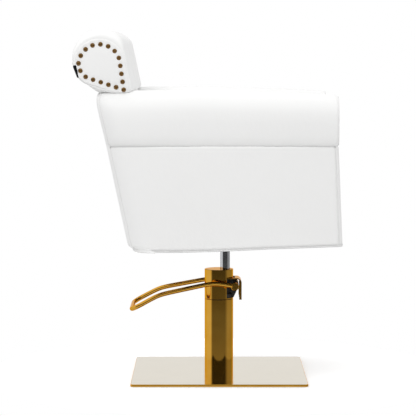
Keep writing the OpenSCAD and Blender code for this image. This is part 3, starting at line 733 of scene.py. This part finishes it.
def pad_panel(name, corners, depth, crown, edge, replaces, cells=(60, 60)):
    """A pad between four corners, in order: it swells along the corners' normal and rolls in at its edges."""
    p00, p10, p11, p01 = [np.array(c, float) for c in corners]
    normal = np.cross(p10 - p00, p01 - p00)
    normal /= np.linalg.norm(normal)
    width, height = np.linalg.norm(p10 - p00), np.linalg.norm(p01 - p00)

    def spaced(size, count):
        fine = edge * (1 - np.cos(np.linspace(0, math.pi / 2, 7)))
        return np.concatenate([fine, np.linspace(edge, size - edge, count)[1:-1], size - fine[::-1]])

    us, vs = spaced(width, cells[0]), spaced(height, cells[1])
    verts = []
    for v in vs:
        for u in us:
            a, b = u / width, v / height
            point = (p00 * (1 - a) + p10 * a) * (1 - b) + (p01 * (1 - a) + p11 * a) * b
            from_edge = min(u, width - u, v, height - v)
            roll = edge - math.sqrt(max(edge ** 2 - max(edge - from_edge, 0) ** 2, 0))
            inside = 0 < a < 1 and 0 < b < 1
            swell = crown * (math.sin(math.pi * a) * math.sin(math.pi * b)) ** 0.6 if inside else 0
            verts.append(point + normal * (swell - roll))
    rows, cols = len(vs), len(us)
    faces = grid_faces(rows, cols)
    rim = ([j for j in range(cols)] + [i * cols + cols - 1 for i in range(1, rows)]
           + [(rows - 1) * cols + j for j in range(cols - 2, -1, -1)]
           + [i * cols for i in range(rows - 2, 0, -1)])
    base = len(verts)
    verts += [verts[r] - normal * (depth - edge) for r in rim]
    n = len(rim)
    faces += [(rim[k], rim[(k + 1) % n], base + (k + 1) % n, base + k) for k in range(n)]
    faces.append(tuple(base + k for k in range(n)))
    piece = add_piece(name, verts, faces, "white_leather")
    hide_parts(*replaces)


def make_seat_front():
    low_front = low("seat_front_panel")[2]
    panel_top = DECK_Z + 5 * MM
    panel_x, panel_low_y, panel_top_y = PAD_X - 2 * MM, FRONT_LOW_Y + 4 * MM, FRONT_LOW_Y + 7 * MM
    pad_panel("seat_front_cover",
              [(-panel_x, panel_low_y, low_front), (panel_x, panel_low_y, low_front),
               (panel_x, panel_top_y, panel_top), (-panel_x, panel_top_y, panel_top)],
              26 * MM, 3 * MM, 6 * MM, ["seat_front_panel"], cells=(80, 20))


def make_inner_arm_covers():
    for sign, side in ((1, "left"), (-1, "right")):
        front, deck = FRONT_HIGH_Y + 20 * MM, DECK_Z + 2 * MM
        x = sign * (PAD_X + 1 * MM)
        corners = [(x, front, deck), (x, face_y(deck) + 20 * MM, deck),
                   (x, face_y(SEAM_Z) + 20 * MM, SEAM_Z - 1 * MM), (x, front, SEAM_Z - 1 * MM)]
        if sign > 0:
            corners = [corners[1], corners[0], corners[3], corners[2]]
        pad_panel(f"inner_arm_cover_{side}", corners, 12 * MM, 1.0 * MM, 5 * MM, [f"inner_arm_pad_{side}"],
                  cells=(80, 30))


# ------------------------------------------------------------------ cloth


def inflate(obj, voxel, pressure, cap, crown, keep):
    """Swells a closed form as stuffed leather, by cloth simulation, and then smooths it.

    Only the two faces across the crown's direction swell: the walls between them are held, as the boxing
    of a fitted cushion is, so that its outline keeps its size."""
    mod = obj.modifiers.new("remesh", "REMESH")
    mod.mode = "VOXEL"
    mod.voxel_size = voxel
    apply_modifiers(obj)
    before = points_of(obj)
    normals = np.array([v.normal[:] for v in obj.data.vertices])
    walls = np.flatnonzero(np.abs(normals @ np.array(crown)) < 0.6)
    held = obj.vertex_groups.new(name="walls")
    held.add(walls.tolist(), 1.0, "REPLACE")
    cloth = obj.modifiers.new("cloth", "CLOTH")
    settings = cloth.settings
    settings.use_pressure = True
    settings.uniform_pressure_force = pressure
    settings.effector_weights.gravity = 0
    settings.tension_stiffness = settings.compression_stiffness = 15
    settings.shear_stiffness = 5
    settings.bending_stiffness = 0.6
    settings.mass = 0.3
    settings.vertex_group_mass = held.name
    settings.quality = 5
    cloth.point_cache.frame_end = 20
    scene = bpy.context.scene
    for f in range(1, 21):
        scene.frame_set(f)
    apply_modifiers(obj)
    scene.frame_set(1)
    move = points_of(obj) - before
    size = np.linalg.norm(move, axis=1)
    move *= np.minimum(1, cap / np.maximum(size, 1e-9))[:, None]
    set_points(obj, keep(before + move))
    mod = obj.modifiers.new("even", "SMOOTH")
    mod.factor, mod.iterations = 0.5, 4
    mod = obj.modifiers.new("finer", "SUBSURF")
    mod.levels = mod.render_levels = 1
    apply_modifiers(obj)
    shade_smooth(obj)


def inset_outline(outline, d):
    """Moves a closed outline inwards by d."""
    tangent = np.roll(outline, -1, axis=0) - np.roll(outline, 1, axis=0)
    normal = np.stack([tangent[:, 1], -tangent[:, 0]], axis=1)
    normal /= np.linalg.norm(normal, axis=1)[:, None] + 1e-12
    centre = outline.mean(axis=0)
    if np.sum((outline - centre) * normal) < 0:
        normal = -normal
    return outline - normal * d


def rounded_polygon(points, radii, per_corner=8):
    """A closed outline with its corners rounded."""
    out = []
    n = len(points)
    for i in range(n):
        p, q, r = (np.array(points[k % n], float) for k in (i - 1, i, i + 1))
        a, b = (p - q) / np.linalg.norm(p - q), (r - q) / np.linalg.norm(r - q)
        half = math.acos(np.clip(np.dot(a, b), -1, 1)) / 2
        cut = radii[i] / math.tan(half)
        centre = q + (a + b) / np.linalg.norm(a + b) * radii[i] / math.sin(half)
        start, end = q + a * cut - centre, q + b * cut - centre
        for t in np.linspace(0, 1, per_corner):
            v = start * (1 - t) + end * t
            out.append(centre + v / np.linalg.norm(v) * radii[i])
    return np.array(out)


def eased_loft(name, outline, half, edge, cells, material):
    """A piece with one outline in Y and Z all along X, rounded off at both ends."""
    ends = [(half - edge * (1 - math.sin(a)), edge * (1 - math.cos(a)))
            for a in np.linspace(0, math.pi / 2, 7)]
    stations = [(-x, d) for x, d in reversed(ends)]
    stations += [(x, 0) for x in np.linspace(-half + edge, half - edge, cells)[1:-1]]
    stations += ends
    verts = [(x, y, z) for x, inset in stations for y, z in inset_outline(outline, inset)]
    return add_piece(name, verts, capped_faces(len(stations), len(outline)), material)


def make_seat_cushion():
    base = DECK_Z + 0.5 * MM
    front = front_y(470 * MM) + 10 * MM
    top = CUSHION_Z - 10 * MM
    outline = rounded_polygon(
        [(front + 2 * MM, base), (front, top), (face_y(top) - 1 * MM, top), (face_y(base) - 1 * MM, base)],
        [4 * MM, 34 * MM, 9 * MM, 4 * MM])
    outline = resample(outline, 150, closed=True)
    half, edge = PAD_X - 1.5 * MM, 16 * MM
    piece = eased_loft("seat_cushion_cover", outline, half, edge, 60, "white_leather")

    def keep(p):
        p[:, 0] = np.clip(p[:, 0], -PAD_X + 1.5 * MM, PAD_X - 1.5 * MM)
        p[:, 2] = np.clip(p[:, 2], base, CUSHION_Z + 8 * MM)
        rear = np.array([face_y(z) for z in p[:, 2]]) - 1 * MM
        p[:, 1] = np.minimum(p[:, 1], rear)
        return p

    inflate(piece, 6 * MM, 4.0, 24 * MM, (0, 0, 1), keep)
    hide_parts("seat_cushion")


# ------------------------------------------------------------------ the back

CHANNELS = (-88 * MM, 88 * MM)


def channel_depth(x, depth, width):
    return sum(depth * np.exp(-np.abs(x - c) / width) for c in CHANNELS)


def make_back_pad():
    base, top = 470 * MM, NECK_Z + 1 * MM
    thick = high("back_pad")[1] - face_y(high("back_pad")[2])
    outline = rounded_polygon(
        [(face_y(base) + 6 * MM, base), (face_y(base) + thick - 4 * MM, base),
         (face_y(top) + thick - 4 * MM, top - 2 * MM), (face_y(top) + 6 * MM, top - 2 * MM)],
        [14 * MM, 6 * MM, 6 * MM, 12 * MM])
    outline = resample(outline, 150, closed=True)
    half, edge = PAD_X + 2 * MM, 12 * MM
    piece = eased_loft("back_pad_cover", outline, half, edge, 60, "white_leather")

    def keep(p):
        p[:, 0] = np.clip(p[:, 0], -PAD_X - 3 * MM, PAD_X + 3 * MM)
        face = np.array([face_y(z) for z in p[:, 2]])
        p[:, 1] = np.clip(p[:, 1], face - 12 * MM, face + thick)
        p[:, 2] = np.clip(p[:, 2], base, NECK_Z)
        return p

    inflate(piece, 6 * MM, 4.0, 14 * MM, (0, math.cos(LEAN), -math.sin(LEAN)), keep)
    co = points_of(piece)
    face = np.array([face_y(z) for z in co[:, 2]])
    near = np.clip(1 - (co[:, 1] - face) / (30 * MM), 0, 1)
    co[:, 1] += channel_depth(co[:, 0], 7 * MM, 7 * MM) * near
    set_points(piece, co)
    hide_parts("back_pad")


CAP_C = np.array([299.5, 820]) * MM
NAIL_R = 52 * MM
TIP = np.array([239, 759]) * MM
HEEL = np.array([332.5, 790]) * MM
NAIL_COUNT = 18
HUB = np.array([291, 818]) * MM
ANGLES = np.linspace(0, 2 * math.pi, 240, endpoint=False)


def nail_line():
    arc = [CAP_C + NAIL_R * np.array([math.cos(a), math.sin(a)]) for a in np.radians(np.arange(-10, 181, 10))]
    return np.array([TIP, HEEL, *arc])


def nail_points():
    return resample(nail_line(), NAIL_COUNT, closed=True)


def reach(outline):
    """How far a closed outline lies from the hub, at each of ANGLES."""
    dense = resample(outline, 2400, closed=True) - HUB
    angle = np.mod(np.arctan2(dense[:, 1], dense[:, 0]), 2 * math.pi)
    order = np.argsort(angle)
    radius = np.linalg.norm(dense, axis=1)[order]
    return np.interp(ANGLES, angle[order], radius, period=2 * math.pi)


def softened(values, steps):
    kernel = np.exp(-0.5 * (np.arange(-3 * steps, 3 * steps + 1) / steps) ** 2)
    kernel /= kernel.sum()
    padded = np.concatenate([values[-3 * steps:], values, values[:3 * steps]])
    return np.convolve(padded, kernel, mode="valid")


def roll_outline():
    distance = (ROLL_C[0] - face_y(ROLL_C[1])) * math.cos(LEAN)
    last = math.pi - LEAN - math.acos(distance / ROLL_R)
    arc = [ROLL_C + ROLL_R * np.array([math.cos(a), math.sin(a)])
           for a in np.linspace(math.radians(-15), last, 60)]
    floor = NECK_Z - 7 * MM
    return np.array([(face_y(floor), floor), (rear_y(floor) - 9 * MM, floor), (354 * MM, 789 * MM), *arc])


def cap_reach():
    line = resample(nail_line(), 400, closed=True)
    grown = inset_outline(line, -14.5 * MM)
    values = softened(reach(grown), 3)
    limit = reach(roll_outline())
    return np.minimum(values, limit - 0.5 * MM)


def ring_at(x, radii):
    return [(x, HUB[0] + r * math.cos(a), HUB[1] + r * math.sin(a)) for a, r in zip(ANGLES, radii)]


def make_roll():
    full, cap = softened(reach(roll_outline()), 3), softened(cap_reach(), 2)
    end, width = CAP_X - 1.5 * MM, 34 * MM
    stations = []
    for a in np.linspace(0, math.pi / 2, 14):
        stations.append((end - width * (1 - math.sin(a)), 1 - math.cos(a)))
    centre = [(x, 0.0) for x in np.linspace(-(end - width), end - width, 150)[1:-1]]
    stations = [(-x, s) for x, s in reversed(stations)] + centre + stations
    cap_in = cap + 1.5 * MM
    verts = []
    for x, share in stations:
        radii = full + (cap_in - full) * share
        groove = channel_depth(x, 4.5 * MM, 5 * MM) * (ANGLES < 4.4)
        facing = np.clip(np.sin(ANGLES - 0.9) * 2 + 0.9, 0, 1)
        radii = radii - groove * facing
        verts += ring_at(x, radii)
    faces = capped_faces(len(stations), len(ANGLES))
    piece = add_piece("scroll_roll_cover", verts, faces, "white_leather")
    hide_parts("back_roll")


def make_end_cap(mirror):
    side = side_name(mirror)
    radii = cap_reach()
    nails = nail_points()
    face, edge = CAP_X, 4 * MM
    rings = [ring_at(face - 12 * MM, radii)]
    for a in np.linspace(0, math.pi / 2, 6):
        rings.append(ring_at(face - edge * (1 - math.sin(a)), radii - edge * (1 - math.cos(a))))
    for share in np.linspace(1, 0, 22)[1:]:
        rings.append(ring_at(face, (radii - edge) * share))
    verts = np.array(rings).reshape(-1, 3)
    yz = verts[:, 1:]
    dimple = np.zeros(len(verts))
    for nail in nails:
        dimple = np.maximum(dimple, np.exp(-np.sum((yz - nail) ** 2, axis=1) / (9 * MM) ** 2))
    from_hub = np.linalg.norm(yz - HUB, axis=1)
    bulge = 2.2 * MM * np.clip(1 - (from_hub / (62 * MM)) ** 2, 0, 1)
    on_face = verts[:, 0] > face - edge
    verts[:, 0] += np.where(on_face, bulge - 1.6 * MM * dimple, 0)
    if mirror:
        verts = mirrored(verts)
    cols = len(ANGLES)
    faces = grid_faces(len(rings), cols, wrap_cols=True)
    faces.append(tuple(range(cols)))
    piece = add_piece(f"end_cap_cover_{side}", verts, faces, "white_leather")
    weld(piece)
    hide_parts(f"end_cap_{side}")


def turned(profile, x, centre, sides):
    """Points of a profile of radius and offset, in millimetres, turned round an axis along X."""
    verts = []
    for radius, out in profile:
        r = max(radius, 0.001) * MM
        for k in range(sides):
            a = 2 * math.pi * k / sides
            verts.append((x + out * MM, centre[0] + r * math.cos(a), centre[1] + r * math.sin(a)))
    return verts


def make_nails(mirror):
    """Domed heads with a rolled rim, on short shanks."""
    side = side_name(mirror)
    profile = [(0.0, 3.1), (1.6, 2.95), (3.2, 2.45), (4.5, 1.6), (5.4, 0.7), (5.85, 0.05), (5.8, -0.6),
               (5.2, -0.9), (1.2, -0.9), (1.2, -8.0), (0.0, -8.6)]
    verts, faces, sides = [], [], 24
    for nail in nail_points():
        base = len(verts)
        verts += turned(profile, CAP_X, nail, sides)
        faces += [tuple(base + v for v in f) for f in grid_faces(len(profile), sides, wrap_cols=True)]
    verts = np.array(verts)
    if mirror:
        verts = mirrored(verts)
    piece = add_piece(f"nail_heads_{side}", verts, faces, "antique_brass")
    weld(piece, 0.005 * MM)
    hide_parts(f"end_cap_nails_{side}")


def make_handle():
    """The rear handle: a wedge in section, with eased ends."""
    low_end, high_end = np.array([353.2, 791]) * MM, np.array([360.3, 816]) * MM
    half = high("rear_handle")[0]
    along = (high_end - low_end) / np.linalg.norm(high_end - low_end)
    turn = math.atan2(along[1], along[0])
    outline = [high_end + 4.8 * MM * np.array([math.cos(turn + t), math.sin(turn + t)])
               for t in np.linspace(-math.pi / 2, math.pi / 2, 18)]
    outline += [low_end + 2.5 * MM * np.array([math.cos(turn + t), math.sin(turn + t)])
                for t in np.linspace(math.pi / 2, 1.5 * math.pi, 12)]
    outline = np.array(outline)
    edge = 1.8 * MM
    piece = eased_loft("rear_grab_handle", outline, half, edge, 24, "black_gloss")
    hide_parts("rear_handle")


# ------------------------------------------------------------------ metal pieces

LEVER_HALF = 52 * MM
LEVER_R = 6 * MM
LEVER_BEND = 25 * MM
LEVER_FLARE = 0.14


def soft_step(u, width):
    return width * math.log1p(math.exp(u / width)) if u < 30 * width else u


def lever_z(y):
    return (PIVOT[1] + 0.2 * (y - PIVOT[0]) - 0.4 * soft_step(y - 12 * MM, 10 * MM)
            - 0.34 * soft_step(y - 158 * MM, 8 * MM))


def make_lever():
    cross = high("lever_loop")[1] - LEVER_R
    half = [(LEVER_HALF + LEVER_FLARE * (y - PIVOT[0]), y)
            for y in np.arange(PIVOT[0] + 7 * MM, cross - LEVER_BEND, 4 * MM)]
    wide = LEVER_HALF + LEVER_FLARE * (cross - LEVER_BEND - PIVOT[0]) - LEVER_BEND
    half += [(wide + LEVER_BEND * math.cos(a), cross - LEVER_BEND + LEVER_BEND * math.sin(a))
             for a in np.linspace(0, math.pi / 2, 14)]
    half += [(x, cross) for x in np.linspace(wide, 0, 12)[1:]]
    path = [(x, y, lever_z(y)) for x, y in half] + [(-x, y, lever_z(y)) for x, y in reversed(half[:-1])]
    rod = tube("lever_rod", path, LEVER_R, "polished_gold", "lever", sides=28)
    eye = [(6, -6), (9.6, -6), (10.5, -5.1), (10.5, 5.1), (9.6, 6), (6, 6)]
    for name, sign in (("left", 1), ("right", -1)):
        lathe_x(f"lever_eye_{name}", eye, sign * LEVER_HALF, "polished_gold", "lever")
    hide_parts("lever_loop")


def lathe_x(name, profile, x, material, body, sides=48):
    """Turns a closed profile round the lever's pivot axis."""
    faces = grid_faces(len(profile), sides, wrap_cols=True, wrap_rows=True)
    piece = add_piece(name, turned(profile, x, PIVOT, sides), faces, material, body)
    sharpen(piece, 30)


def sharpen(obj, degrees):
    """Keeps edges sharper than an angle crisp under smooth shading."""
    work = bmesh.new()
    work.from_mesh(obj.data)
    for edge in work.edges:
        if len(edge.link_faces) == 2 and edge.calc_face_angle(0) > math.radians(degrees):
            edge.smooth = False
    work.to_mesh(obj.data)
    work.free()


def make_base_cover():
    """The polished cover of the base: rolled edges, rounded corners, and a hole for the column."""
    half = high("base_cover")[0]
    top, bottom = high("base_cover")[2], low("base_cover")[2]
    corner, roll = 10 * MM, 1.4 * MM

    def outline(inset):
        r = corner - inset * 0.6
        pts = []
        for cx, cy, start in ((1, 1, 0), (-1, 1, 90), (-1, -1, 180), (1, -1, 270)):
            for a in np.radians(np.linspace(start, start + 90, 12)):
                side = half - inset - r
                pts.append((cx * side + r * math.cos(a), cy * side + r * math.sin(a)))
        return np.array(pts)

    rings = [(outline(0.9 * MM), bottom), (outline(0.3 * MM), bottom), (outline(0.0), bottom + 0.4 * MM)]
    rings += [(outline(roll * (1 - math.sin(a))), top - roll * (1 - math.cos(a)))
              for a in np.linspace(math.pi / 2, 0, 7)]
    hole = 34.6 * MM
    square = outline(roll + 1.2 * MM)
    rings.append((square, top))
    circle = square / np.linalg.norm(square, axis=1)[:, None] * hole
    for share in (0.25, 0.5, 0.75, 1.0):
        rings.append((square + share * (circle - square), top))
    rings.append((circle, top - 0.9 * MM))
    verts = [(x, y, z) for pts, z in rings for x, y in pts]
    faces = grid_faces(len(rings), len(square), wrap_cols=True)
    piece = add_piece("base_cover_shell", verts, faces, "pale_gold", "base")
    face_up(piece)
    thicken(piece, 0.8 * MM)
    # Up-facing faces take the paler gold and the rolled edges the deeper gold: the paler top is a painted
    # reflection of the white room.
    piece.data.materials.append(M["polished_gold"])
    for polygon in piece.data.polygons:
        polygon.material_index = 0 if polygon.normal.z > 0.97 else 1
    sharpen(piece, 40)
    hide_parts("base_cover")


def face_up(obj):
    mesh = obj.data
    if sum(p.normal.z * p.area for p in mesh.polygons) < 0:
        mesh.flip_normals()


# ------------------------------------------------------------------ studio


def make_floor():
    n = Nodes("studio_floor")
    n.finish((0.92, 0.92, 0.92, 1), n.spread(n.noise(3), 0.75, 0.9), Specular_IOR_Level=0.1,
             Emission_Color=(1, 1, 1, 1), Emission_Strength=0.3)
    bpy.ops.mesh.primitive_circle_add(vertices=128, radius=0.62, fill_type="NGON", location=(0, 0, -0.0005))
    floor = bpy.context.object
    floor.name = "studio_floor"
    floor.data.materials.append(n.mat)
    floor.visible_glossy = False


def area_light(name, place, target, size, power):
    data = bpy.data.lights.new(name, "AREA")
    data.shape = "RECTANGLE"
    data.size, data.size_y = size
    data.energy = power
    obj = bpy.data.objects.new(name, data)
    obj.location = place
    direction = Vector(target) - Vector(place)
    obj.rotation_euler = direction.to_track_quat("-Z", "Y").to_euler()
    obj.visible_glossy = False
    bpy.context.scene.collection.objects.link(obj)


def make_lights():
    middle = (0, 0, 0.5)
    area_light("key", (-2.4, 1.6, 3.0), middle, (1.4, 1.4), 46)
    area_light("fill", (-2.8, -2.4, 1.4), middle, (2.0, 2.0), 18)
    area_light("top", (0.2, 0.4, 3.4), middle, (2.0, 2.0), 17)
    area_light("front", (0.4, -3.2, 1.8), middle, (2.0, 2.0), 14)
    area_light("back", (1.6, 3.0, 1.6), middle, (2.0, 2.0), 10)
    area_light("far", (3.2, -0.4, 1.8), middle, (2.0, 2.0), 16)


def world_mix(tree, fac, a, b):
    """Mixes two colours of the world; each is a colour or a socket."""
    mix = tree.nodes.new("ShaderNodeMix")
    mix.data_type = "RGBA"
    tree.links.new(fac, mix.inputs["Factor"])
    for name, value in (("A", a), ("B", b)):
        socket = next(i for i in mix.inputs if i.name == name and i.type == "RGBA")
        if hasattr(value, "is_output"):
            tree.links.new(value, socket)
        else:
            socket.default_value = value
    return next(o for o in mix.outputs if o.type == "RGBA")


def make_world():
    """A plain room: white behind the chair, soft light on it, and walls, floor and ceiling for its metal."""
    world = bpy.data.worlds.new("studio")
    bpy.context.scene.world = world
    world.use_nodes = True
    tree = world.node_tree
    background = tree.nodes["Background"]
    coords = tree.nodes.new("ShaderNodeTexCoord")
    split = tree.nodes.new("ShaderNodeSeparateXYZ")
    tree.links.new(coords.outputs["Generated"], split.inputs[0])
    turn = tree.nodes.new("ShaderNodeMath")
    turn.operation = "ARCTAN2"
    tree.links.new(split.outputs["Y"], turn.inputs[0])
    tree.links.new(split.outputs["X"], turn.inputs[1])
    bearing = world_range(tree, turn.outputs[0], -math.pi, math.pi)
    walls = world_ramp(tree, bearing, WALLS)
    low_down = world_range(tree, split.outputs["Z"], -0.1, -0.3)
    walls = world_mix(tree, low_down, walls, (0.7, 0.7, 0.7, 1))
    high_up = world_range(tree, split.outputs["Z"], 0.2, 0.5)
    room = world_mix(tree, high_up, walls, (0.9, 0.9, 0.9, 1))
    path = tree.nodes.new("ShaderNodeLightPath")
    soft = world_mix(tree, path.outputs["Is Glossy Ray"], (0.68, 0.68, 0.68, 1), room)
    final = world_mix(tree, path.outputs["Is Camera Ray"], soft, (1, 1, 1, 1))
    tree.links.new(final, background.inputs["Color"])
    bpy.context.scene.view_settings.view_transform = "Standard"


def world_range(tree, value, start, end):
    node = tree.nodes.new("ShaderNodeMapRange")
    node.inputs["From Min"].default_value = start
    node.inputs["From Max"].default_value = end
    tree.links.new(value, node.inputs["Value"])
    return node.outputs["Result"]


def world_ramp(tree, fac, stops):
    node = tree.nodes.new("ShaderNodeValToRGB")
    elements = node.color_ramp.elements
    for place, value in stops:
        element = elements.new(place / 360)
        element.color = (value, value, value, 1)
    elements.remove(elements[0])
    elements.remove(elements[-1])
    tree.links.new(fac, node.inputs["Fac"])
    return node.outputs["Color"]


# Brightness of the room's walls by bearing, in degrees: dark towards -X (0 and 360), grey towards -Y (90),
# and light towards +X (180) and +Y (270)
WALLS = [(1, 0.02), (50, 0.02), (75, 0.3), (120, 0.3), (150, 0.8), (290, 0.8), (305, 0.02), (359, 0.02)]


def make_camera():
    data = bpy.data.cameras.new("camera")
    data.sensor_width = 36
    data.lens = 167.06
    data.clip_start, data.clip_end = 0.1, 50
    camera = bpy.data.objects.new("camera", data)
    camera.location = (-5.1, 0.029, 0.854)
    camera.rotation_euler = (math.radians(90 - 4.635), 0, math.radians(-90))
    bpy.context.scene.collection.objects.link(camera)
    bpy.context.scene.camera = camera


# ------------------------------------------------------------------ everything

finish_cad_nodes()
make_camera()
make_world()
make_lights()
make_floor()
make_base_cover()
make_lever()
make_body_covers()
for mirror in (False, True):
    make_arm_roll(mirror)
    make_end_cap(mirror)
    make_nails(mirror)
make_roll()
make_handle()
make_seat_cushion()
make_back_pad()
make_seat_front()
make_inner_arm_covers()
